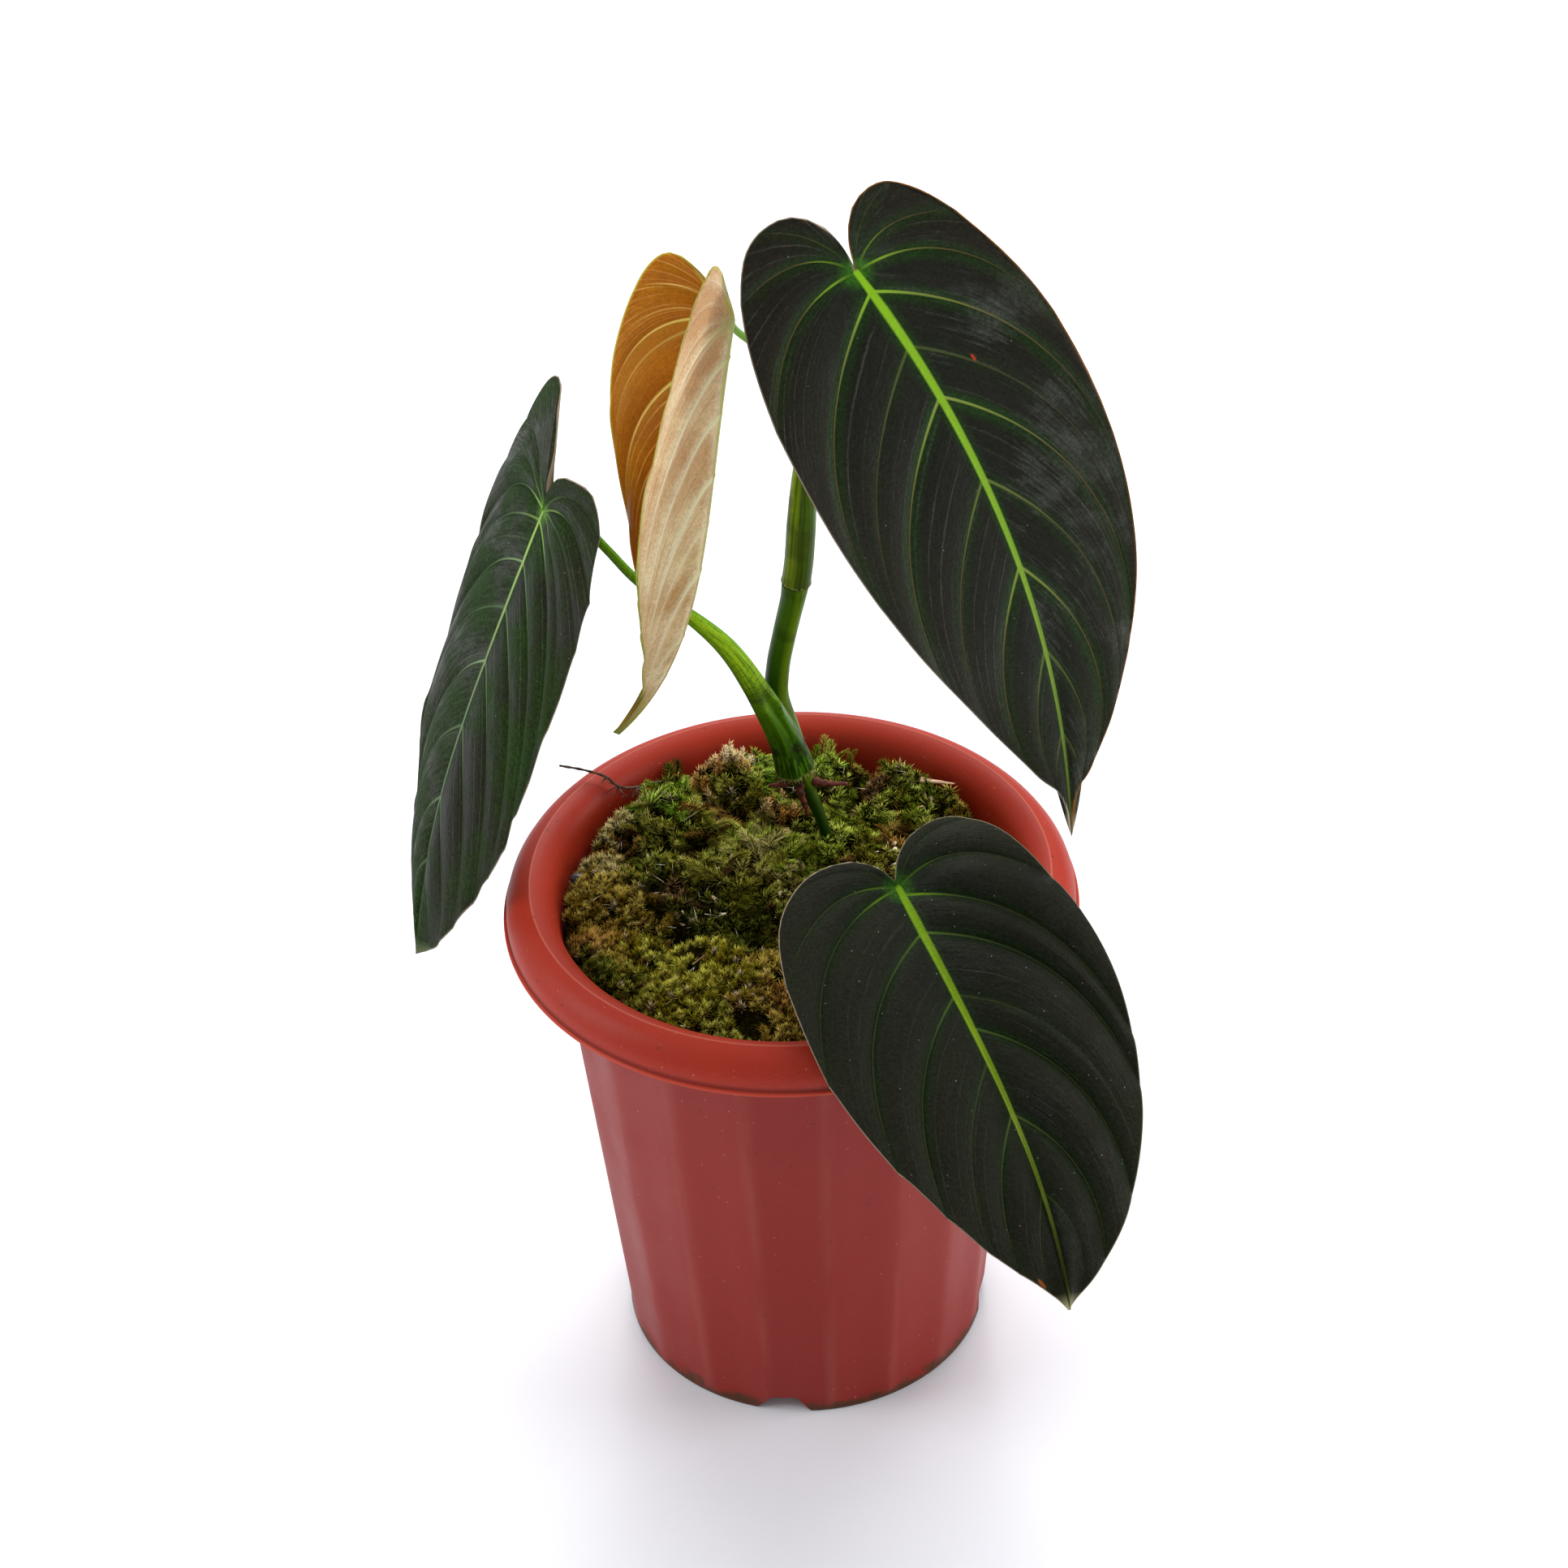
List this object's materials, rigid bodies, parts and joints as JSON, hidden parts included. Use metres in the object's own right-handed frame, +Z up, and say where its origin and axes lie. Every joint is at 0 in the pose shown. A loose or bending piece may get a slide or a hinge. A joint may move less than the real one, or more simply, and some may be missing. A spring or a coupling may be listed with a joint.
{
  "type": "potted black gold philodendron",
  "caption": "Young climbing aroid with dark velvety heart-shaped leaves on upright petioles, moss over its potting mix, in a fluted terracotta-coloured nursery pot.",
  "frame": {"origin": "on the surface that the pot stands on, under the middle of the box around the whole plant", "axes": "+Z up along the stem and the pot's axis, -Y towards the front from which the picture was taken, +X to its right"},
  "size_m": [0.2272, 0.2294, 0.4125],
  "materials": {
    "pot": "satin",
    "potting_mix": "matte",
    "moss": "matte",
    "olive_moss": "matte",
    "pale_moss": "matte",
    "wood_chip": "matte",
    "pebble": "satin",
    "dry_root": "matte",
    "stem": "satin",
    "petiole": "satin",
    "blade": "satin",
    "young_blade": "satin"
  },
  "bodies": {
    "root": {"pot": "pot", "potting_mix": "potting_mix", "moss_front": "moss", "moss_middle": "moss", "moss_left": "olive_moss", "moss_back_left": "olive_moss", "moss_pale_tuft": "pale_moss", "moss_back": "moss", "moss_back_right": "moss", "moss_right": "moss", "moss_stem_side": "moss", "moss_front_right": "moss", "moss_left_edge": "moss", "wood_chip": "wood_chip", "pebble": "pebble", "dry_root": "dry_root", "stem": "stem", "petiole_top": "petiole", "blade_top": "blade", "petiole_left": "petiole", "blade_left": "blade", "petiole_young": "petiole", "blade_young": "young_blade", "petiole_front": "petiole", "blade_front": "blade"}
  },
  "joints": []
}
